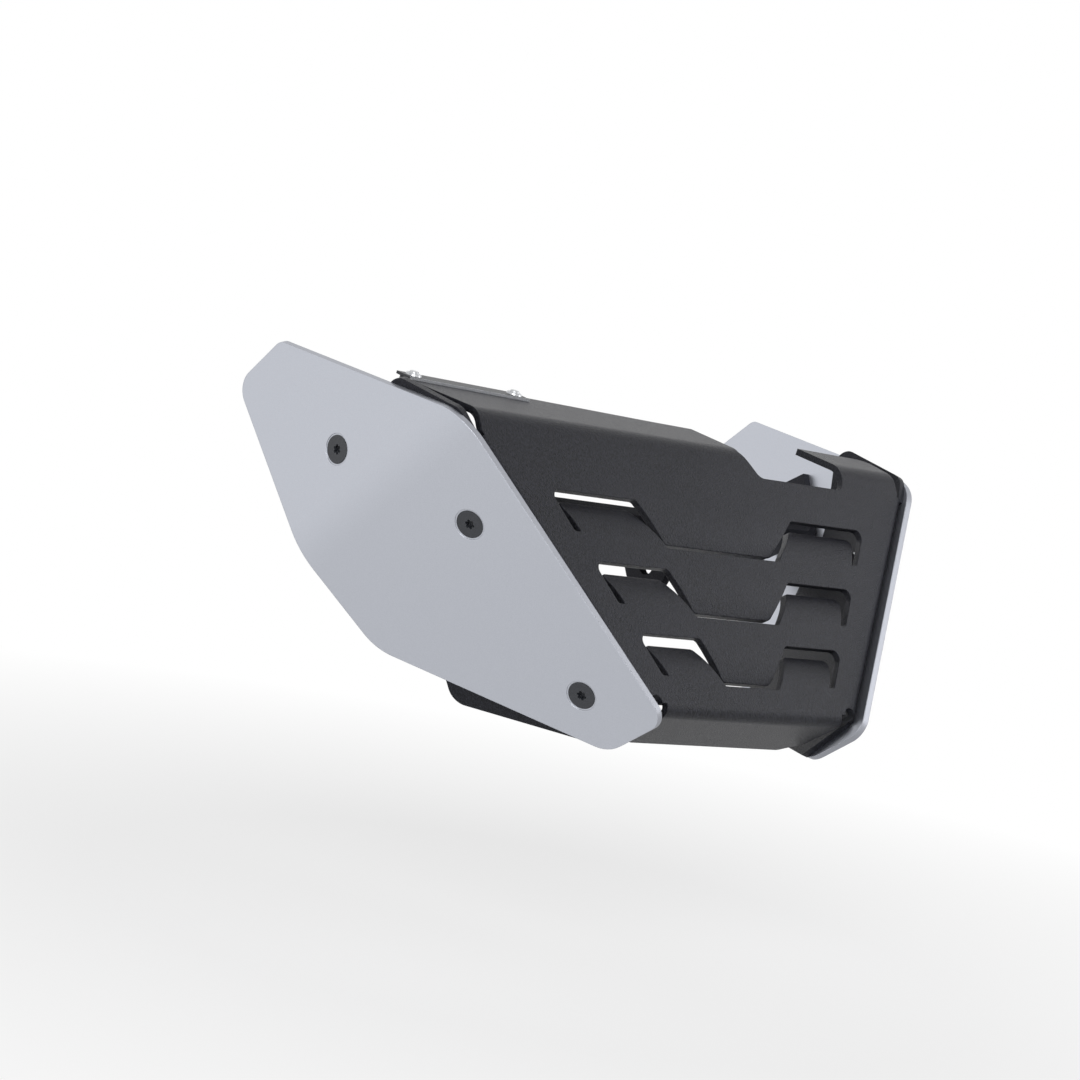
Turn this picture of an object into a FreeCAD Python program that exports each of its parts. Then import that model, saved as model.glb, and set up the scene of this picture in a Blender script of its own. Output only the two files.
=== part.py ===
import math
import os

import FreeCAD
import Part
import Sketcher

Vec = FreeCAD.Vector
doc = FreeCAD.newDocument("engine_spoiler")
sheet = doc.addObject("Spreadsheet::Sheet", "sizes")

# Sizes in millimetres and degrees
SIZES = [
    ("panel_lean", 30.4, "front panel, top leans back from upright"),
    ("wall", 3.0, "folded sheet thickness"),
    ("plate_wall", 3.0, "side plate thickness"),
    ("fold_inside", 2.0, "inside radius of the sharp folds"),
    ("roof_fold_inside", 6.5, "inside radius of the roof fold"),
    ("panel_tall", 123.9, "front panel, chin fold to roof fold"),
    ("ear_half", 130.4, "front panel and roof, half width at the roof fold"),
    ("fold_high", 113.0, "side folds, height of their upper ends"),
    ("chin_turn", 87.4, "chin, turn from the panel"),
    ("chin_deep", 32.5, "chin, depth from the fold"),
    ("chin_half", 54.5, "chin, half width"),
    ("chin_cut", 8.5, "chin, rear corner chamfer"),
    ("roof_turn", 50.6, "roof, turn from the panel"),
    ("roof_deep", 46.8, "roof, depth at its right edge"),
    ("roof_mid", 33.3, "roof, depth at the middle plane"),
    ("roof_left", 24.0, "roof, depth at its left edge"),
    ("roof_gap", 0.8, "roof edge to flange"),
    ("relief_bore", 3.2, "fold relief radius"),
    ("side_lean", 7.0, "upper side facet, lean from the middle plane"),
    ("crease_drop", 9.0, "side crease, drop to the rear"),
    ("crease_turn", 25.8, "side crease, turn between facets"),
    ("crease_round", 40.0, "side crease, inside radius of the plate"),
    ("crease_half", 142.4, "side crease, half width at its front end"),
    ("crease_high", 119.4, "side crease, height on the panel at its front end"),
    ("plate_ahead", 2.3, "side plate, lead of its front edge on the panel"),
    ("plate_foot_v", -142.9, "side plate, lower front corner, along the height"),
    ("plate_foot_u", 19.3, "side plate, lower front corner, to the rear"),
    ("plate_heel_v", -140.0, "side plate, lower rear corner, along the height"),
    ("plate_heel_u", 51.5, "side plate, lower rear corner, to the rear"),
    ("plate_knee_v", -50.5, "side plate, knee corner, along the height"),
    ("plate_knee_u", 113.9, "side plate, knee corner, to the rear"),
    ("plate_tail_v", 78.7, "side plate, tail corner, along the height"),
    ("plate_tail_u", 110.2, "side plate, tail corner, to the rear"),
    ("plate_peak_v", 79.7, "side plate, peak corner, along the height"),
    ("plate_peak_u", 77.6, "side plate, peak corner, to the rear"),
    ("plate_brow_round", 26.0, "side plate, front upper corner radius"),
    ("plate_foot_round", 8.0, "side plate, lower front corner radius"),
    ("plate_heel_round", 14.0, "side plate, lower rear corner radius"),
    ("plate_knee_round", 24.0, "side plate, knee corner radius"),
    ("plate_tail_round", 9.0, "side plate, tail corner radius"),
    ("plate_peak_round", 6.0, "side plate, peak corner radius"),
    ("flange_rear_v", -86.3, "flange, rear lower corner, along the height"),
    ("flange_rear_u", 102.2, "flange, rear lower corner, to the rear"),
    ("flange_top_v", 38.0, "flange, rear upper corner, along the height"),
    ("flange_top_u", 31.4, "flange, rear upper corner, to the rear"),
    ("flange_brow_v", 3.0, "flange, front upper corner, along the height"),
    ("flange_brow_u", 2.6, "flange, front upper corner, to the rear"),
    ("flange_round", 8.0, "flange, rear corner radius"),
    ("row_pitch", 29.6, "louvre rows, spacing"),
    ("row_first", 34.2, "lowest louvre row, height of its top edge"),
    ("row_tall", 17.5, "louvre, hinge to top edge"),
    ("row_out", 63.9, "lowest louvre row, half width at the top"),
    ("row_out_step", 17.4, "louvre row, growth of the half width per row"),
    ("row_slant", 10.2, "louvre, run of the outer end over its height"),
    ("tab_top", 26.7, "lowest row, half width of the tab at its top"),
    ("tab_top_step", 11.1, "tab, growth of the top half width per row"),
    ("tab_end", 14.4, "lowest row, half width of the tab at its end"),
    ("tab_end_step", 9.2, "tab, growth of the end half width per row"),
    ("slit", 3.6, "louvre slit width"),
    ("flap_curl", 26.0, "flap, outside radius of its roll"),
    ("tab_curl", 52.0, "tab, outside radius of its roll"),
    ("louvre_round", 3.2, "louvre corner radius"),
    ("notch_in", 30.0, "pipe notch, inner wall from the middle plane"),
    ("notch_out", 92.0, "pipe notch, outer wall from the middle plane"),
    ("notch_low", 11.7, "pipe notch, depth below the roof fold"),
    ("notch_round", 6.0, "pipe notch, lower corner radius"),
    ("rear_screw_v", 24.2, "rear plate screw, along the height"),
    ("rear_screw_u", 70.4, "rear plate screw, to the rear"),
    ("upper_screw_v", -35.1, "upper plate screw, along the height"),
    ("upper_screw_u", 32.5, "upper plate screw, to the rear"),
    ("lower_screw_v", -115.3, "lower plate screw, along the height"),
    ("lower_screw_u", 43.8, "lower plate screw, to the rear"),
    ("screw_head", 6.0, "plate screw, head radius"),
    ("screw_shank", 3.0, "plate screw, shank radius"),
    ("screw_long", 16.0, "plate screw, length"),
    ("screw_sink", 0.2, "plate screw, head below the plate's face"),
    ("socket_core", 1.5, "six-lobe socket, core radius"),
    ("socket_lobe", 0.65, "six-lobe socket, lobe radius"),
    ("socket_deep", 2.2, "six-lobe socket, depth"),
    ("bore_room", 0.3, "clearance of a screw in its bore"),
    ("head_room", 0.1, "clearance of a screw head in its countersink"),
    ("mouth_room", 0.7, "countersink mouth, wider than the screw head"),
    ("mouth_deep", 0.35, "countersink mouth, depth"),
    ("thread_room", 0.05, "clearance of a nut on its screw"),
    ("washer_outside", 6.0, "washer outside radius"),
    ("washer_wall", 1.6, "washer thickness"),
    ("nut_flats", 10.0, "nut, width across flats"),
    ("nut_tall", 5.0, "nut height"),
    ("strap_wall", 4.0, "rear strap thickness"),
    ("strap_wide", 28.0, "rear strap width"),
    ("strap_up", 15.0, "rear strap, foot above the rear screw"),
    ("strap_down", 19.0, "rear strap, web below the rear screw"),
    ("strap_fold", 4.0, "rear strap, inside fold radius"),
    ("eye_gap", 60.0, "engine bolt eyes, space between them"),
    ("eye_wall", 4.0, "engine bolt eyes, thickness"),
    ("eye_drop", 17.0, "engine bolt, below the strap's web"),
    ("eye_round", 13.0, "engine bolt eyes, end radius"),
    ("eye_bore", 4.2, "engine bolt eyes, bore radius"),
    ("strip_wall", 1.2, "roof strip thickness"),
    ("strip_deep", 9.0, "roof strip depth"),
    ("strip_end", 2.0, "roof strip, outer end from the roof's rear corner"),
    ("strip_long", 62.0, "roof strip, length across"),
    ("rivet_end", 5.0, "rivets, from the ends of the roof strip"),
    ("rivet_head", 3.5, "rivet, head radius"),
    ("rivet_tall", 0.9, "rivet, height of each step of its head"),
    ("rivet_shank", 2.0, "rivet, shank radius"),
    ("rivet_tail", 3.0, "rivet, tail radius"),
    ("rivet_tail_tall", 2.5, "rivet, tail height"),
]


class Size:
    # A number together with the spreadsheet expression that gives it
    def __init__(self, num, txt):
        self.num = float(num)
        self.txt = txt

    def __add__(self, other):
        other = size(other)
        return Size(self.num + other.num, "(%s + %s)" % (self.txt, other.txt))

    def __sub__(self, other):
        other = size(other)
        return Size(self.num - other.num, "(%s - %s)" % (self.txt, other.txt))

    def __mul__(self, other):
        other = size(other)
        return Size(self.num * other.num, "(%s * %s)" % (self.txt, other.txt))

    def __truediv__(self, other):
        other = size(other)
        return Size(self.num / other.num, "(%s / %s)" % (self.txt, other.txt))

    def __neg__(self):
        return Size(-self.num, "(0 - %s)" % self.txt)

    __radd__ = __add__
    __rmul__ = __mul__

    def __rsub__(self, other):
        return size(other) - self


def size(value):
    if isinstance(value, Size):
        return value
    if value < 0:
        return Size(value, "(0 - %r)" % abs(float(value)))
    return Size(value, "%r" % float(value))


def cosd(angle):
    return Size(math.cos(math.radians(angle.num)), "cos(%s)" % angle.txt)


def sind(angle):
    return Size(math.sin(math.radians(angle.num)), "sin(%s)" % angle.txt)


def tand(angle):
    return Size(math.tan(math.radians(angle.num)), "tan(%s)" % angle.txt)


def asind(ratio):
    return Size(math.degrees(math.asin(ratio.num)), "(asin(%s) / 1 deg)" % ratio.txt)


def acosd(ratio):
    return Size(math.degrees(math.acos(ratio.num)), "(acos(%s) / 1 deg)" % ratio.txt)


def atand(ratio):
    return Size(math.degrees(math.atan(ratio.num)), "(atan(%s) / 1 deg)" % ratio.txt)


S = {}
for line, (alias, value, note) in enumerate(SIZES, start=1):
    sheet.set("A%d" % line, alias)
    sheet.set("B%d" % line, "%r" % value)
    sheet.set("C%d" % line, note)
    sheet.setAlias("B%d" % line, alias)
    S[alias] = Size(value, "sizes.%s" % alias)
doc.recompute()


def frame(origin, ex, ez):
    # Placement whose local X and Z axes lie along the two given directions
    ey = ez.cross(ex)
    turn = FreeCAD.Rotation(ex, ey, ez, "ZXY")
    return FreeCAD.Placement(origin, turn)


def polygon(body, name, points):
    sketch = body.newObject("Sketcher::SketchObject", name)
    plane = [f for f in body.Origin.OriginFeatures if f.Role == "XY_Plane"][0]
    sketch.AttachmentSupport = [(plane, "")]
    sketch.MapMode = "FlatFace"
    corners = [Vec(p[0].num, p[1].num, 0) for p in points]
    count = len(corners)
    for i in range(count):
        sketch.addGeometry(Part.LineSegment(corners[i], corners[(i + 1) % count]), False)
    for i in range(count):
        sketch.addConstraint(Sketcher.Constraint("Coincident", i, 2, (i + 1) % count, 1))
    for i, p in enumerate(points):
        for kind, value, tag in (("DistanceX", p[0], "x"), ("DistanceY", p[1], "y")):
            index = sketch.addConstraint(Sketcher.Constraint(kind, -1, 1, i, 1, value.num))
            sketch.renameConstraint(index, "p%d%s" % (i, tag))
            sketch.setExpression("Constraints.p%d%s" % (i, tag), value.txt)
    return sketch


def prism(name, points, tall, place):
    # Upright solid on an outline; a corner with a third value is rounded
    points = [[size(n) for n in p] for p in points]
    tall = size(tall)
    body = doc.addObject("PartDesign::Body", name)
    sketch = polygon(body, name + "_outline", points)
    doc.recompute()
    pad = body.newObject("PartDesign::Pad", name + "_pad")
    pad.Profile = sketch
    pad.Length = tall.num
    pad.setExpression("Length", tall.txt)
    doc.recompute()
    tip = pad
    for i, p in enumerate(points):
        if len(p) < 3:
            continue
        found = ""
        for j, edge in enumerate(tip.Shape.Edges, start=1):
            if len(edge.Vertexes) != 2:
                continue
            a = edge.Vertexes[0].Point
            b = edge.Vertexes[1].Point
            near = max(math.hypot(q.x - p[0].num, q.y - p[1].num) for q in (a, b))
            if near < 1e-4 and abs(a.z - b.z) > 1e-3:
                found = "Edge%d" % j
        rounded = body.newObject("PartDesign::Fillet", "%s_round%d" % (name, i))
        rounded.Base = (tip, [found])
        rounded.Radius = p[2].num
        rounded.setExpression("Radius", p[2].txt)
        doc.recompute()
        tip = rounded
    body.Tip = tip
    body.Placement = place
    doc.recompute()
    return body


def primitive(kind, name, place, **props):
    obj = doc.addObject(kind, name)
    for key, value in props.items():
        value = size(value)
        setattr(obj, key, value.num)
        obj.setExpression(key, value.txt)
    obj.Placement = place
    return obj


def cylinder(name, place, radius, tall):
    return primitive("Part::Cylinder", name, place, Radius=radius, Height=tall)


def join(name, items):
    obj = doc.addObject("Part::MultiFuse", name)
    obj.Shapes = items
    obj.Refine = True
    return obj


def cut(name, base, tool):
    obj = doc.addObject("Part::Cut", name)
    obj.Base = base
    obj.Tool = tool
    obj.Refine = True
    return obj


def common(name, base, tool):
    obj = doc.addObject("Part::Common", name)
    obj.Base = base
    obj.Tool = tool
    return obj


def mirrored(name, source):
    obj = doc.addObject("Part::Mirroring", name)
    obj.Source = source
    obj.Normal = Vec(1, 0, 0)
    obj.Base = Vec(0, 0, 0)
    return obj


def sector(name, place, inside, outside, angle, tall):
    # Part of a tube wall that starts on the local X axis
    full = primitive("Part::Cylinder", name + "_full", place, Radius=outside, Height=tall, Angle=angle)
    core = primitive("Part::Cylinder", name + "_core", place, Radius=inside, Height=tall)
    return cut(name, full, core)


def move(place, x, y, z):
    return place.multiply(FreeCAD.Placement(Vec(x, y, z), FreeCAD.Rotation()))


# Directions of the right side in panel axes: across, up the panel, ahead of it
lean = S["side_lean"]
drop = S["crease_drop"]
turn = S["crease_turn"]
n2x = sind(turn) * cosd(drop) * sind(lean) - cosd(turn) * cosd(lean)
n2s = -(cosd(turn) * sind(lean)) - sind(turn) * cosd(drop) * cosd(lean)
n2a = sind(turn) * sind(drop)
n1 = Vec(-cosd(lean).num, -sind(lean).num, 0)
up1 = Vec(-sind(lean).num, cosd(lean).num, 0)
crease = Vec(0, 0, -1) * cosd(drop).num - up1 * sind(drop).num
rise1 = up1 * cosd(drop).num + Vec(0, 0, -1) * sind(drop).num
n2 = n1 * cosd(turn).num - rise1 * sind(turn).num
half = turn / 2
nm = n1 * cosd(half).num - rise1 * sind(half).num
vm = rise1 * cosd(half).num + n1 * sind(half).num
brow = Vec(-S["crease_half"].num, S["crease_high"].num, S["plate_ahead"].num)

# The engine bolt's axis is the origin of the whole
rise2 = rise1 * cosd(turn).num + n1 * sind(turn).num


def on_facet(name, rise):
    flat = S[name + "_v"] / cosd(half)
    return brow + crease * S[name + "_u"].num + rise * flat.num


screw1 = on_facet("rear_screw", rise1)
eye_s = screw1.y - S["strap_down"].num - S["eye_drop"].num
eye_a = screw1.z
to_world = FreeCAD.Rotation(Vec(1, 0, 0), 90 - S["panel_lean"].num)
panel = FreeCAD.Placement(-to_world.multVec(Vec(0, eye_s, eye_a)), to_world)
side = panel.multiply(frame(brow, vm, nm))

# Front panel: its side edges follow the lower facet of the flange
fold_out = S["fold_inside"] + S["wall"]
level = n2x * -S["crease_half"] + n2s * S["crease_high"] + n2a * S["plate_ahead"] - S["plate_wall"]
side_slope = n2s / n2x
side_base = -(level / n2x)
beta = atand(side_slope)
side_turn = acosd(n2a)
side_back = fold_out * tand(side_turn / 2)
edge_base = side_base - side_back / cosd(beta)
chin_back = fold_out * tand(S["chin_turn"] / 2)
roof_out = S["roof_fold_inside"] + S["wall"]
roof_back = roof_out * tand(S["roof_turn"] / 2)
low_s = chin_back
high_s = S["panel_tall"] - roof_back
low_x = edge_base + side_slope * low_s
ear = S["ear_half"]
ear_s = (ear - edge_base) / side_slope
panel_flat = prism("panel_flat", [
    (-low_x, low_s), (low_x, low_s), (ear, ear_s), (ear, high_s), (-ear, high_s), (-ear, ear_s)],
    S["wall"], move(panel, 0, 0, -S["wall"].num))

# Louvres: one opening per row, two rolled flaps and a rolled tab
slit = S["slit"]
lr = S["louvre_round"]
openings = []
vanes = []
for row in range(3):
    tag = "row%d" % (row + 1)
    top = S["row_first"] + S["row_pitch"] * row
    hinge = top - S["row_tall"]
    out = S["row_out"] + S["row_out_step"] * row
    tip = out - S["row_slant"]
    tab_a = S["tab_top"] + S["tab_top_step"] * row
    tab_b = S["tab_end"] + S["tab_end_step"] * row
    low = hinge - slit * 0.75
    openings.append(prism(tag + "_opening", [
        (-out, top, lr), (-tip, hinge, lr * 0.6), (-tab_b - slit * 1.2, hinge), (-tab_b - slit * 0.6, low, lr * 0.3),
        (tab_b + slit * 0.6, low, lr * 0.3), (tab_b + slit * 1.2, hinge), (tip, hinge, lr * 0.6), (out, top, lr)],
        S["wall"] * 4, move(panel, 0, 0, -S["wall"].num * 3)))
    # Flaps hinge on their lower edge and roll inwards
    curl = S["flap_curl"]
    reach = Size(70, "70.0")
    axis = move(panel, -out.num, hinge.num, -curl.num)
    roll = axis.multiply(frame(Vec(0, 0, 0), Vec(0, 0, 1), Vec(1, 0, 0)))
    roll = roll.multiply(FreeCAD.Placement(Vec(0, 0, 0), FreeCAD.Rotation(Vec(0, 0, 1), -reach.num)))
    bent = sector(tag + "_roll", roll, curl - S["wall"], curl, reach, out * 2)
    flap_top = top - slit
    for sign, word in ((-1, "right"), (1, "left")):
        shape = [
            ((tip - slit) * sign, hinge - 0.01),
            ((out - slit * 1.8) * sign, flap_top, lr * 0.6),
            ((tab_a + slit * 0.55) * sign, flap_top, lr * 0.8),
            ((tab_b + slit * 1.2) * sign, hinge - 0.01)]
        if sign > 0:
            shape.reverse()
        plan = prism("%s_flap_%s_plan" % (tag, word), shape, curl, move(panel, 0, 0, -curl.num + 1))
        vanes.append(common("%s_flap_%s" % (tag, word), plan, bent))
    # The tab hangs from the upper edge
    curl = S["tab_curl"]
    span = asind(S["row_tall"] / curl) * 1.2
    axis = move(panel, -out.num, top.num, -curl.num)
    roll = axis.multiply(frame(Vec(0, 0, 0), Vec(0, 0, 1), Vec(1, 0, 0)))
    bent = sector(tag + "_tab_roll", roll, curl - S["wall"], curl, span, out * 2)
    plan = prism(tag + "_tab_plan", [
        (-tab_a - lr * 1.5, top + 0.3), (-tab_a, top, lr), (-tab_b, hinge, lr),
        (tab_b, hinge, lr), (tab_a, top, lr), (tab_a + lr * 1.5, top + 0.3)],
        curl, move(panel, 0, 0, -curl.num + 1))
    vanes.append(common(tag + "_tab", plan, bent))
doc.recompute()

# Side folds between the panel and the flanges
edge_up = Vec(-sind(beta).num, cosd(beta).num, 0)
fold_run = (S["fold_high"] - low_s) / cosd(beta)
fold_low = Vec(-low_x.num, low_s.num, 0)
fold_top = fold_low + edge_up * fold_run.num
fold_centre = Vec(0, 0, -fold_out.num)
fold_place = panel.multiply(frame(fold_top + fold_centre, Vec(0, 0, 1), -edge_up))
side_fold = sector("side_fold", fold_place, S["fold_inside"], fold_out, side_turn, fold_run)


def bent_strip(name, outer, thick, inside):
    # Sheet with the side crease, longer than any outline cut from it
    up = S["plate_peak_v"] * 1.5
    down = -S["plate_foot_v"] * 1.3
    c = cosd(half)
    s = sind(half)
    inner = outer + thick
    run = S["plate_knee_u"] + 60
    place = panel.multiply(frame(brow - crease * 30, vm, crease))
    return prism(name, [
        (up * c, up * s + outer / c), (size(0), outer / c, inside + thick),
        (-(down * c), down * s + outer / c), (-(down * c), down * s + inner / c),
        (size(0), inner / c, inside), (up * c, up * s + inner / c)], run, place)


def side_coords(point):
    w = point - brow
    return size(w.dot(vm)), size(w.dot(crease))


# Flange: starts at the side fold, lies on the inside of the plate
flange_strip = bent_strip("flange_strip", S["plate_wall"], S["wall"], S["crease_round"] - S["wall"])
start_low = fold_low + fold_centre + n2 * fold_out.num
start_top = fold_top + fold_centre + n2 * fold_out.num
back2 = n2.cross(edge_up)
if back2.z > 0:
    back2 = -back2
lead = 4
low_v, low_u = side_coords(start_low - back2 * lead)
low2_v, low2_u = side_coords(start_low)
top_v, top_u = side_coords(start_top - back2 * lead)
deep = S["plate_foot_v"] * -1
flange_plan = prism("flange_plan", [
    (low_v, low_u), (S["plate_heel_v"] + 2, S["plate_heel_u"] + 1),
    (S["flange_rear_v"], S["flange_rear_u"], S["flange_round"]),
    (S["flange_top_v"], S["flange_top_u"], S["flange_round"]),
    (S["flange_brow_v"], S["flange_brow_u"], S["flange_round"]),
    (top_v, top_u)], deep, move(side, 0, 0, -deep.num * 0.8))
flange_full = common("flange_full", flange_strip, flange_plan)
reach = S["chin_deep"]
front_block = primitive("Part::Box", "front_block", panel.multiply(
    frame(start_low - n2 * reach.num - edge_up * (reach.num * 1.25), edge_up, back2 * -1)),
    Length=fold_run + reach * 1.25, Width=reach * 2, Height=reach * 1.25)
flange = cut("flange", flange_full, front_block)

# Chin
chin_fold_place = move(panel, -S["chin_half"].num, low_s.num, -fold_out.num)
chin_fold_place = chin_fold_place.multiply(frame(Vec(0, 0, 0), Vec(0, 0, 1), Vec(1, 0, 0)))
chin_fold = sector("chin_fold", chin_fold_place, S["fold_inside"], fold_out, S["chin_turn"], S["chin_half"] * 2)
chin_dir = Vec(0, -cosd(S["chin_turn"]).num, -sind(S["chin_turn"]).num)
chin_place = panel.multiply(frame(Vec(0, 0, 0), Vec(1, 0, 0), Vec(1, 0, 0).cross(chin_dir)))
ch = S["chin_half"]
cc = S["chin_cut"]
chin_flat = prism("chin_flat", [
    (-ch, chin_back), (ch, chin_back), (ch, S["chin_deep"] - cc, 3), (ch - cc, S["chin_deep"], 3),
    (cc - ch, S["chin_deep"], 3), (-ch, S["chin_deep"] - cc, 3)], S["wall"], chin_place)

# Roof
roof_fold_place = move(panel, ear.num, high_s.num, -roof_out.num)
roof_fold_place = roof_fold_place.multiply(frame(Vec(0, 0, 0), Vec(0, 0, 1), Vec(-1, 0, 0)))
roof_fold = sector("roof_fold", roof_fold_place, S["roof_fold_inside"], roof_out, S["roof_turn"], ear * 2)
roof_dir = Vec(0, cosd(S["roof_turn"]).num, -sind(S["roof_turn"]).num)
roof_place = panel.multiply(frame(
    Vec(0, S["panel_tall"].num, 0), Vec(1, 0, 0), Vec(1, 0, 0).cross(roof_dir)))
lost = S["crease_round"] / cosd(half) - S["crease_round"]


def roof_edge(depth):
    rise = S["panel_tall"] + cosd(S["roof_turn"]) * depth - S["crease_high"]
    inner = S["crease_half"] + rise * tand(lean) - (S["plate_wall"] + S["wall"]) / cosd(lean)
    return inner - lost - S["roof_gap"]


ex1 = roof_edge(S["roof_left"])
ex2 = roof_edge(S["roof_deep"])
roof_flat = prism("roof_flat", [
    (-ear, roof_back), (ear, roof_back), (ex1, S["roof_left"], 5),
    (size(0), S["roof_mid"]), (-ex2, S["roof_deep"], 5)],
    S["wall"], move(roof_place, 0, 0, -S["wall"].num))


def roof_rear(x):
    return S["roof_mid"] + (S["roof_deep"] - S["roof_mid"]) * x / ex2


# Cuts through the folded sheet
cuts = list(openings)
notch_s = S["panel_tall"] - S["notch_low"]
notch_top = S["panel_tall"] + S["roof_deep"] * 1.5
cuts.append(prism("pipe_notch", [
    (S["notch_in"] + 5, notch_s, S["notch_round"]), (S["notch_out"], notch_s, S["notch_round"]),
    (S["notch_out"], notch_top), (S["notch_in"] - 5, notch_top), (S["notch_in"] - 5, S["panel_tall"])],
    S["roof_deep"] * 3, move(panel, 0, 0, -S["roof_deep"].num * 2)))
for sign, word in ((-1, "right"), (1, "left")):
    cuts.append(cylinder("relief_" + word, move(panel, low_x.num * sign, low_s.num, -reach.num),
                         S["relief_bore"], reach * 1.25))


def screw_place(name, rise, normal):
    return panel.multiply(frame(on_facet(name, rise), crease, normal))


SCREWS = [
    ("rear", screw_place("rear_screw", rise1, n1), S["strap_wall"]),
    ("upper", screw_place("upper_screw", rise2, n2), S["wall"]),
    ("lower", screw_place("lower_screw", rise2, n2), S["wall"]),
]
bore = S["screw_shank"] + S["bore_room"]
for word, place, under in SCREWS[1:]:
    hole = cylinder("flange_hole_" + word, move(place, 0, 0, -reach.num), bore, reach * 1.25)
    cuts.append(hole)
    cuts.append(mirrored("flange_hole_%s_left" % word, hole))
rivet_hole = S["rivet_shank"] + S["head_room"]
so_x = ex2 - S["strip_end"]
si_x = so_x - S["strip_long"]
RIVETS = []
for word, x in (("out", so_x - S["rivet_end"]), ("in", si_x + S["rivet_end"])):
    depth = roof_rear(x) - S["strip_deep"] / 2
    place = move(roof_place, -x.num, depth.num, 0)
    RIVETS.append((word, place))
    cuts.append(cylinder("roof_hole_" + word, move(place, 0, 0, -S["wall"].num * 3), rivet_hole,
                         S["wall"] * 6))

folded = join("folded", [
    panel_flat, side_fold, mirrored("side_fold_left", side_fold), flange, mirrored("flange_left", flange),
    chin_fold, chin_flat, roof_fold, roof_flat])
pierced = cut("pierced", folded, join("shell_cuts", cuts))
front_shell = join("front_shell", [pierced] + vanes)

# Side plates
plate_strip = bent_strip("plate_strip", size(0), S["plate_wall"], S["crease_round"])
plate_plan = prism("plate_plan", [
    (size(0), size(0), S["plate_brow_round"]),
    (S["plate_peak_v"], S["plate_peak_u"], S["plate_peak_round"]),
    (S["plate_tail_v"], S["plate_tail_u"], S["plate_tail_round"]),
    (S["plate_knee_v"], S["plate_knee_u"], S["plate_knee_round"]),
    (S["plate_heel_v"], S["plate_heel_u"], S["plate_heel_round"]),
    (S["plate_foot_v"], S["plate_foot_u"], S["plate_foot_round"])],
    deep, move(side, 0, 0, -deep.num * 0.8))
plate_full = common("plate_full", plate_strip, plate_plan)
sinks = []
for word, place, under in SCREWS:
    wide = S["screw_head"] + S["screw_sink"] + S["head_room"]
    sinks.append(primitive("Part::Cone", "sink_" + word, move(place, 0, 0, -S["plate_wall"].num),
                 Radius1=wide - S["plate_wall"], Radius2=wide, Height=S["plate_wall"]))
    sinks.append(cylinder("mouth_" + word, move(place, 0, 0, -S["mouth_deep"].num),
                          S["screw_head"] + S["mouth_room"], S["mouth_deep"] * 2))
plate_right = cut("side_plate_right", plate_full, join("plate_sinks", sinks))
plate_left = mirrored("side_plate_left", plate_right)

nodes = [front_shell, plate_right, plate_left]

# Plate screws with their washers and nuts
for word, place, under in SCREWS:
    cone_tall = S["screw_head"] - S["screw_shank"]
    top = S["screw_sink"]
    cone = primitive("Part::Cone", "head_" + word, move(place, 0, 0, -(top + cone_tall).num),
                     Radius1=S["screw_shank"], Radius2=S["screw_head"], Height=cone_tall)
    shank = cylinder("shank_" + word, move(place, 0, 0, -S["screw_long"].num), S["screw_shank"],
                     S["screw_long"] - top - cone_tall)
    floor = -(top + S["socket_deep"]).num
    lobes = [cylinder("socket_core_" + word, move(place, 0, 0, floor), S["socket_core"], S["socket_deep"] * 2)]
    for k in range(6):
        ang = math.radians(60 * k)
        spot = move(place, S["socket_core"].num * math.cos(ang), S["socket_core"].num * math.sin(ang), floor)
        lobes.append(cylinder("socket_lobe%d_%s" % (k, word), spot, S["socket_lobe"], S["socket_deep"] * 2))
    screw = cut("plate_screw_%s_right" % word, join("screw_body_" + word, [cone, shank]),
                join("socket_" + word, lobes))
    base = S["plate_wall"] + under
    disc = cylinder("washer_disc_" + word, move(place, 0, 0, -(base + S["washer_wall"]).num),
                    S["washer_outside"], S["washer_wall"])
    eye = cylinder("washer_eye_" + word, move(place, 0, 0, -(base + S["washer_wall"]).num - 1), bore,
                   S["washer_wall"] + 2)
    washer = cut("plate_washer_%s_right" % word, disc, eye)
    seat = base + S["washer_wall"] + S["nut_tall"]
    hexa = primitive("Part::Prism", "nut_hex_" + word, move(place, 0, 0, -seat.num),
                     Circumradius=S["nut_flats"] / math.sqrt(3), Height=S["nut_tall"])
    hexa.Polygon = 6
    thread = cylinder("nut_thread_" + word, move(place, 0, 0, -seat.num - 1),
                      S["screw_shank"] + S["thread_room"], S["nut_tall"] + 2)
    nut = cut("plate_nut_%s_right" % word, hexa, thread)
    for kind, item in (("screw", screw), ("washer", washer), ("nut", nut)):
        nodes.append(item)
        nodes.append(mirrored("plate_%s_%s_left" % (kind, word), item))

# Rear strap with the engine bolt's eyes
screw1_s = (S["crease_high"] - S["rear_screw_u"] * sind(drop) * cosd(lean)
            + S["rear_screw_v"] / cosd(half) * cosd(drop) * cosd(lean))
foot_top = screw1_s + S["strap_up"]
web_low = screw1_s - S["strap_down"]
web_high = web_low + S["strap_wall"]


def strap_face(level, inset):
    return S["crease_half"] + (level - S["crease_high"]) * tand(lean) - (S["plate_wall"] + inset) / cosd(lean)


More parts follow.
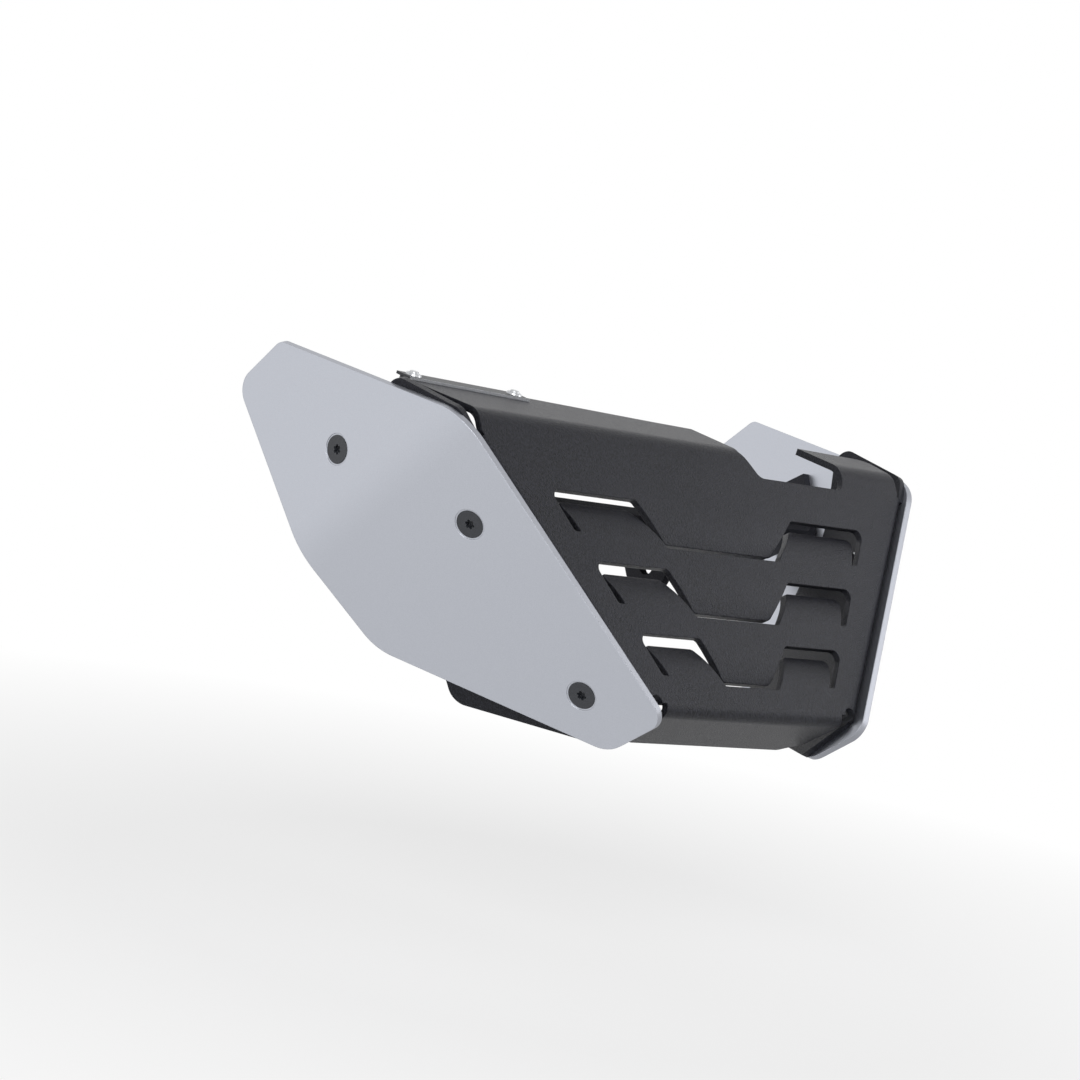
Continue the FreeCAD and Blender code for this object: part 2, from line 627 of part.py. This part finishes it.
so = S["strap_fold"] + S["strap_wall"]
sf = S["strap_fold"]
zero = size(0)
o_top = strap_face(foot_top, zero)
o_low = strap_face(web_low, zero)
i_top = strap_face(foot_top, S["strap_wall"])
i_low = strap_face(web_high, S["strap_wall"])
strap = prism("strap_fold", [
    (-o_top, foot_top), (-o_low, web_low, so), (o_low, web_low, so), (o_top, foot_top),
    (i_top, foot_top), (i_low, web_high, sf), (-i_low, web_high, sf), (-i_top, foot_top)],
    S["strap_wide"], move(panel, 0, 0, eye_a - S["strap_wide"].num / 2))
tabs = [strap]
for sign, word in ((-1, "right"), (1, "left")):
    x = S["eye_gap"] / 2 if sign > 0 else -(S["eye_gap"] / 2) - S["eye_wall"]
    place = panel.multiply(frame(Vec(x.num, eye_s, eye_a), Vec(0, 0, -1), Vec(1, 0, 0)))
    er = S["eye_round"]
    tabs.append(prism("eye_tab_" + word, [(-er, zero), (er, zero), (er, S["eye_drop"]), (-er, S["eye_drop"])],
                      S["eye_wall"], place))
    tabs.append(cylinder("eye_end_" + word, place, er, S["eye_wall"]))
strap_holes = [cylinder("eye_bores", panel.multiply(frame(
    Vec(-S["eye_gap"].num, eye_s, eye_a), Vec(0, 0, -1), Vec(1, 0, 0))), S["eye_bore"], S["eye_gap"] * 2)]
hole = cylinder("strap_hole", move(SCREWS[0][1], 0, 0, -reach.num), bore, reach * 1.25)
strap_holes.append(hole)
strap_holes.append(mirrored("strap_hole_left", hole))
nodes.append(cut("rear_strap", join("strap_body", tabs), join("strap_holes", strap_holes)))

# Roof strip and its rivets
sd = S["strip_deep"]
strip_flat = prism("strip_flat", [
    (-so_x, roof_rear(so_x) - sd), (-si_x, roof_rear(si_x) - sd), (-si_x, roof_rear(si_x)),
    (-so_x, roof_rear(so_x))], S["strip_wall"], roof_place)
strip_holes = []
for word, place in RIVETS:
    strip_holes.append(cylinder("strip_hole_" + word, move(place, 0, 0, -2), rivet_hole, S["strip_wall"] + 4))
nodes.append(cut("roof_strip", strip_flat, join("strip_holes", strip_holes)))
for word, place in RIVETS:
    head = primitive("Part::Cone", "rivet_head_" + word, move(place, 0, 0, S["strip_wall"].num),
                     Radius1=S["rivet_head"], Radius2=S["rivet_head"] * 0.88, Height=S["rivet_tall"])
    cap = primitive("Part::Cone", "rivet_cap_" + word, move(place, 0, 0, (S["strip_wall"] + S["rivet_tall"]).num),
                    Radius1=S["rivet_head"] * 0.64, Radius2=S["rivet_head"] * 0.5, Height=S["rivet_tall"])
    stem = cylinder("rivet_stem_" + word, move(place, 0, 0, -S["wall"].num), S["rivet_shank"],
                    S["wall"] + S["strip_wall"])
    tail = cylinder("rivet_tail_" + word, move(place, 0, 0, -(S["wall"] + S["rivet_tail_tall"]).num),
                    S["rivet_tail"], S["rivet_tail_tall"])
    nodes.append(join("roof_rivet_" + word, [head, cap, stem, tail]))

doc.recompute()

# Every object is sound before the pieces are written
for obj in doc.Objects:
    if "Invalid" in obj.State or "Error" in obj.State:
        raise RuntimeError("object %s is not sound: %s" % (obj.Name, obj.State))
os.makedirs("parts", exist_ok=True)
for obj in nodes:
    obj.Label = obj.Name
    shape = obj.Shape
    if shape.isNull() or not shape.isValid():
        raise RuntimeError("piece %s has no sound shape" % obj.Name)
    if len(shape.Solids) != 1:
        raise RuntimeError("piece %s has %d solids" % (obj.Name, len(shape.Solids)))
    shape.exportStep("parts/%s.step" % obj.Name)
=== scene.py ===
import bpy
from mathutils import Matrix, Vector


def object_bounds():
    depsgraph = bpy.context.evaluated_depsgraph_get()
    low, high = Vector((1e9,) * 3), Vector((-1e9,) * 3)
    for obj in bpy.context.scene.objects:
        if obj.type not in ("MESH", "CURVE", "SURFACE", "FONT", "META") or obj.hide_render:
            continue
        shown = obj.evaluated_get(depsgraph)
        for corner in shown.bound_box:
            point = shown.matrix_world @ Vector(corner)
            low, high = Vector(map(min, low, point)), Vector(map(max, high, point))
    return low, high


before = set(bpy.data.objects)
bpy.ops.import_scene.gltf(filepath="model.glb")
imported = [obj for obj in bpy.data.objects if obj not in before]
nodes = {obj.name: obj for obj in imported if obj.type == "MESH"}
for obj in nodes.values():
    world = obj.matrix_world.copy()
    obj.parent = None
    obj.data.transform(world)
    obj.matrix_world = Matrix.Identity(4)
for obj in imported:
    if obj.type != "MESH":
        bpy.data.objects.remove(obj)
cad_low, cad_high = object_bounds()

# Spans that several finishes share
FULL_SPAN = (0.0, 1.0)
GRAIN_SPAN = (0.3, 0.7)
CLOUD_SPAN = (0.35, 0.65)

# Floor and photograph, lengths in metres, the sensor in millimetres
FLOOR_WIDTH = 30.0
FLOOR_DROP = 0.1
PHOTO_PIXELS = 1080.0
FOCAL_PIXELS = 2800.0
SHIFT_PIXELS = -1.5
SENSOR_WIDTH = 36.0


# Material tools

def new_finish(name):
    """A material with an empty node tree and one Principled surface."""
    finish = bpy.data.materials.new(name)
    finish.use_nodes = True
    tree = finish.node_tree
    tree.nodes.clear()
    output = tree.nodes.new("ShaderNodeOutputMaterial")
    surface = tree.nodes.new("ShaderNodeBsdfPrincipled")
    tree.links.new(surface.outputs["BSDF"], output.inputs["Surface"])
    return finish, tree, surface


def grain(tree, scale, detail, roughness):
    """Noise on the object's own coordinates, scale in spots per metre."""
    place = tree.nodes.new("ShaderNodeTexCoord")
    noise = tree.nodes.new("ShaderNodeTexNoise")
    noise.inputs["Scale"].default_value = scale
    noise.inputs["Detail"].default_value = detail
    noise.inputs["Roughness"].default_value = roughness
    tree.links.new(place.outputs["Object"], noise.inputs["Vector"])
    return noise.outputs["Fac"]


def spread(tree, value, source, target):
    """Maps a value from one span to another, clamped."""
    node = tree.nodes.new("ShaderNodeMapRange")
    node.inputs["From Min"].default_value = source[0]
    node.inputs["From Max"].default_value = source[1]
    node.inputs["To Min"].default_value = target[0]
    node.inputs["To Max"].default_value = target[1]
    tree.links.new(value, node.inputs["Value"])
    return node.outputs["Result"]


def combine(tree, operation, first, second):
    """Joins two values by one operation."""
    node = tree.nodes.new("ShaderNodeMath")
    node.operation = operation
    tree.links.new(first, node.inputs[0])
    tree.links.new(second, node.inputs[1])
    return node.outputs["Value"]


def facing(tree, axis):
    """How far a surface faces along an axis, from minus one to one."""
    shape = tree.nodes.new("ShaderNodeNewGeometry")
    split = tree.nodes.new("ShaderNodeSeparateXYZ")
    tree.links.new(shape.outputs["Normal"], split.inputs["Vector"])
    return split.outputs[axis]


def blend_colours(tree, factor, first, second):
    """Mixes two colours; each is a tuple or another node's output."""
    node = tree.nodes.new("ShaderNodeMix")
    node.data_type = "RGBA"
    tree.links.new(factor, node.inputs["Factor"])
    for socket, colour in ((node.inputs[6], first), (node.inputs[7], second)):
        if isinstance(colour, tuple):
            socket.default_value = (*colour, 1.0)
        else:
            tree.links.new(colour, socket)
    return node.outputs[2]


def pits(tree, surface, height, strength, distance, edge):
    """Bump from a height over edges softened to a small radius, in metres."""
    bump = tree.nodes.new("ShaderNodeBump")
    bump.inputs["Strength"].default_value = strength
    bump.inputs["Distance"].default_value = distance
    tree.links.new(height, bump.inputs["Height"])
    soft = tree.nodes.new("ShaderNodeBevel")
    soft.samples = 6
    soft.inputs["Radius"].default_value = edge
    tree.links.new(soft.outputs["Normal"], bump.inputs["Normal"])
    tree.links.new(bump.outputs["Normal"], surface.inputs["Normal"])


def looked_at(tree):
    """One for rays that show the background: straight, mirrored or through glass."""
    path = tree.nodes.new("ShaderNodeLightPath")
    straight = path.outputs["Is Camera Ray"]
    mirrored = combine(tree, "MAXIMUM", straight, path.outputs["Is Glossy Ray"])
    return combine(tree, "MAXIMUM", mirrored, path.outputs["Is Transmission Ray"])


def dress(names, finish):
    """Gives CAD nodes a finish in each of their material slots."""
    for name in names:
        mesh = nodes[name].data
        if not mesh.materials:
            mesh.materials.append(finish)
        for index in range(len(mesh.materials)):
            mesh.materials[index] = finish


# Finishes

def powder_coat(name, dark, light, rough):
    """Black powder coat: fine orange peel, speckle and slow cloudiness."""
    finish, tree, surface = new_finish(name)
    speckle = grain(tree, scale=1000.0, detail=2.0, roughness=0.65)
    cloud = grain(tree, scale=14.0, detail=3.0, roughness=0.5)
    peel = grain(tree, scale=1700.0, detail=2.0, roughness=0.5)
    speck_mix = spread(tree, speckle, (0.4, 0.64), FULL_SPAN)
    cloud_mix = spread(tree, cloud, CLOUD_SPAN, (0.0, 0.3))
    fine = blend_colours(tree, speck_mix, dark, light)
    toned = blend_colours(tree, cloud_mix, fine, light)
    gloss = spread(tree, speckle, GRAIN_SPAN, (rough - 0.06, rough + 0.06))
    tree.links.new(toned, surface.inputs["Base Color"])
    tree.links.new(gloss, surface.inputs["Roughness"])
    surface.inputs["Specular IOR Level"].default_value = 0.22
    surface.inputs["Specular Tint"].default_value = (0.88, 0.9, 1.0, 1.0)
    pits(tree, surface, peel, strength=0.8, distance=0.0004, edge=0.0007)
    return finish


def satin_plate(name):
    """Satin anodised aluminium: an even fine blasted grain, and cut edges painted darker than
    the face as painted shade that tones down their highlight.
    """
    finish, tree, surface = new_finish(name)
    blast = grain(tree, scale=2600.0, detail=1.0, roughness=0.5)
    cloud = grain(tree, scale=9.0, detail=2.0, roughness=0.5)
    blast_mix = spread(tree, blast, GRAIN_SPAN, FULL_SPAN)
    cloud_mix = spread(tree, cloud, CLOUD_SPAN, (0.0, 0.35))
    fine = blend_colours(tree, blast_mix, (0.53, 0.55, 0.605), (0.575, 0.595, 0.65))
    toned = blend_colours(tree, cloud_mix, fine, (0.545, 0.565, 0.62))
    # Cut edges, the faces not turned sideways, are painted darker than the face: painted shade
    # that dims their reflection.
    side = tree.nodes.new("ShaderNodeMath")
    side.operation = "ABSOLUTE"
    tree.links.new(facing(tree, "X"), side.inputs[0])
    rim_shade = spread(tree, side.outputs["Value"], (0.62, 0.78), (1.0, 0.0))
    edged = blend_colours(tree, rim_shade, toned, (0.34, 0.35, 0.385))
    gloss = spread(tree, rim_shade, FULL_SPAN, (0.42, 0.5))
    tree.links.new(edged, surface.inputs["Base Color"])
    tree.links.new(gloss, surface.inputs["Roughness"])
    surface.inputs["Metallic"].default_value = 1.0
    pits(tree, surface, blast, strength=0.12, distance=0.00012, edge=0.0006)
    return finish


def edged_strip(name):
    """Satin black strip whose front edge is painted as lighter bare metal, a painted highlight
    along that edge.
    """
    finish, tree, surface = new_finish(name)
    speckle = grain(tree, scale=1500.0, detail=2.0, roughness=0.6)
    speck_mix = spread(tree, speckle, (0.32, 0.68), FULL_SPAN)
    coat = blend_colours(tree, speck_mix, (0.008, 0.0085, 0.0115), (0.021, 0.0215, 0.028))
    # The front-facing edge gets a lighter metallic colour: a painted highlight.
    edge_highlight = spread(tree, facing(tree, "Y"), (-0.8, -0.7), (1.0, 0.0))
    edged = blend_colours(tree, edge_highlight, coat, (0.42, 0.43, 0.45))
    gloss = spread(tree, speckle, GRAIN_SPAN, (0.38, 0.5))
    tree.links.new(edged, surface.inputs["Base Color"])
    tree.links.new(edge_highlight, surface.inputs["Metallic"])
    tree.links.new(gloss, surface.inputs["Roughness"])
    pits(tree, surface, speckle, strength=0.25, distance=0.0002, edge=0.0002)
    return finish


def fixing_metal(name, fleck_size, dark, light, gloss_span, pit_strength):
    """One grain for the tone, gloss and pits of a small fixing."""
    finish, tree, surface = new_finish(name)
    fleck = grain(tree, *fleck_size)
    fleck_mix = spread(tree, fleck, GRAIN_SPAN, FULL_SPAN)
    tone = blend_colours(tree, fleck_mix, dark, light)
    gloss = spread(tree, fleck, GRAIN_SPAN, gloss_span)
    tree.links.new(tone, surface.inputs["Base Color"])
    tree.links.new(gloss, surface.inputs["Roughness"])
    pits(tree, surface, fleck, strength=pit_strength, distance=0.0001, edge=0.0003)
    return finish, surface


def coated_screw(name):
    """Satin black coated steel of the countersunk screws."""
    finish, surface = fixing_metal(name, (2200.0, 2.0, 0.55), (0.016, 0.018, 0.023),
                                   (0.034, 0.037, 0.046), (0.36, 0.48), 0.15)
    surface.inputs["Specular IOR Level"].default_value = 0.6
    return finish


def zinc_plate(name):
    """Bright zinc of the nuts and washers, a little uneven."""
    finish, surface = fixing_metal(name, (420.0, 3.0, 0.6), (0.5, 0.51, 0.53),
                                   (0.64, 0.65, 0.66), (0.28, 0.42), 0.1)
    surface.inputs["Metallic"].default_value = 1.0
    return finish


def bare_rivet(name):
    """Bare drawn aluminium of the rivets."""
    finish, surface = fixing_metal(name, (900.0, 2.0, 0.5), (0.42, 0.43, 0.45),
                                   (0.56, 0.57, 0.58), (0.22, 0.34), 0.08)
    surface.inputs["Metallic"].default_value = 1.0
    return finish


shell_black = powder_coat("shell_black", (0.001, 0.0011, 0.0016), (0.018, 0.0185, 0.0245), 0.38)
strap_black = powder_coat("strap_black", (0.008, 0.0085, 0.0115), (0.02, 0.0205, 0.027), 0.52)
strip_black = edged_strip("strip_black")
plate_silver = satin_plate("plate_silver")
screw_black = coated_screw("screw_black")
fixing_zinc = zinc_plate("fixing_zinc")
rivet_bright = bare_rivet("rivet_bright")

dress(["front_shell"], shell_black)
dress(["rear_strap"], strap_black)
dress(["roof_strip"], strip_black)
dress(["side_plate_right", "side_plate_left"], plate_silver)
dress(["roof_rivet_out", "roof_rivet_in"], rivet_bright)
dress([name for name in nodes if name.startswith("plate_screw")], screw_black)
dress([name for name in nodes if name.startswith(("plate_washer", "plate_nut"))], fixing_zinc)


# Floor

def pale_floor(name):
    """White floor, whiter away from the object, that keeps a soft shadow."""
    finish, tree, surface = new_finish(name)
    tree.nodes.remove(surface)
    output = next(node for node in tree.nodes if node.type == "OUTPUT_MATERIAL")
    matt = tree.nodes.new("ShaderNodeBsdfDiffuse")
    cloud = grain(tree, scale=3.0, detail=2.0, roughness=0.5)
    cloud_mix = spread(tree, cloud, GRAIN_SPAN, FULL_SPAN)
    tone = blend_colours(tree, cloud_mix, (0.9, 0.9, 0.903), (0.92, 0.92, 0.922))
    tree.links.new(tone, matt.inputs["Color"])
    white = tree.nodes.new("ShaderNodeEmission")
    white.inputs["Strength"].default_value = 1.0
    place = tree.nodes.new("ShaderNodeTexCoord")
    away = tree.nodes.new("ShaderNodeVectorMath")
    away.operation = "LENGTH"
    tree.links.new(place.outputs["Object"], away.inputs[0])
    far = spread(tree, away.outputs["Value"], (0.2, 0.65), (0.72, 1.0))
    share = combine(tree, "MULTIPLY", looked_at(tree), far)
    both = tree.nodes.new("ShaderNodeMixShader")
    tree.links.new(share, both.inputs["Fac"])
    tree.links.new(matt.outputs["BSDF"], both.inputs[1])
    tree.links.new(white.outputs["Emission"], both.inputs[2])
    tree.links.new(both.outputs["Shader"], output.inputs["Surface"])
    return finish


bpy.ops.object.select_all(action="DESELECT")
floor_place = (0.0, 0.0, cad_low.z - FLOOR_DROP)
bpy.ops.mesh.primitive_plane_add(size=FLOOR_WIDTH, location=floor_place)
floor = bpy.context.object
floor.name = "floor"
floor.data.materials.append(pale_floor("floor_white"))


# World and lamps

world = bpy.data.worlds.new("studio")
bpy.context.scene.world = world
world.use_nodes = True
sky = world.node_tree
sky.nodes.clear()
sky_out = sky.nodes.new("ShaderNodeOutputWorld")
sky_light = sky.nodes.new("ShaderNodeBackground")
sky_light.inputs["Color"].default_value = (1.0, 1.0, 1.0, 1.0)
sky_place = sky.nodes.new("ShaderNodeTexCoord")
sky_split = sky.nodes.new("ShaderNodeSeparateXYZ")
sky.links.new(sky_place.outputs["Generated"], sky_split.inputs["Vector"])
sky_high = spread(sky, sky_split.outputs["Z"], (0.05, 0.6), (1.0, 0.08))
sky_rear = spread(sky, sky_split.outputs["Y"], (-0.1, 0.5), (1.0, 0.75))
sky_dim = combine(sky, "MULTIPLY", sky_high, sky_rear)
sky_seen = combine(sky, "MAXIMUM", looked_at(sky), sky_dim)
sky.links.new(sky_seen, sky_light.inputs["Strength"])
sky.links.new(sky_light.outputs["Background"], sky_out.inputs["Surface"])


def soft_lamp(name, place, aim, width, power):
    """A square soft box that faces a point, width in metres and power in watts."""
    light = bpy.data.lights.new(name, "AREA")
    light.shape = "SQUARE"
    light.size = width
    light.energy = power
    lamp = bpy.data.objects.new(name, light)
    bpy.context.scene.collection.objects.link(lamp)
    lamp.visible_camera = False
    lamp.location = place
    lamp.rotation_euler = (Vector(aim) - Vector(place)).to_track_quat("-Z", "Y").to_euler()


soft_lamp("key", (-1.8, -1.9, 1.2), (0.0, -0.02, 0.0), width=1.6, power=40.0)
soft_lamp("fill", (0.44, -0.34, 0.18), (0.12, -0.06, 0.0), width=0.3, power=0.7)
soft_lamp("rear", (0.6, 2.0, 1.8), (0.0, -0.02, 0.0), width=1.4, power=3.0)


# Camera

lens = bpy.data.cameras.new("camera")
lens.sensor_width = SENSOR_WIDTH
lens.lens = FOCAL_PIXELS / PHOTO_PIXELS * SENSOR_WIDTH
lens.shift_y = SHIFT_PIXELS / PHOTO_PIXELS
lens.clip_start = 0.01
lens.clip_end = 60.0
camera = bpy.data.objects.new("camera", lens)
bpy.context.scene.collection.objects.link(camera)
right = Vector((0.71915641, -0.66982425, 0.18479593))
upward = Vector((-0.08631612, 0.17777308, 0.98027867))
behind = Vector((-0.68946616, -0.72092454, 0.07003002))
turn = Matrix((right, upward, behind)).transposed().to_4x4()
camera_place = (-0.87573332, -0.87581461, 0.09130436)
camera.matrix_world = Matrix.Translation(camera_place) @ turn
bpy.context.scene.camera = camera

bpy.context.scene.view_settings.view_transform = "Standard"
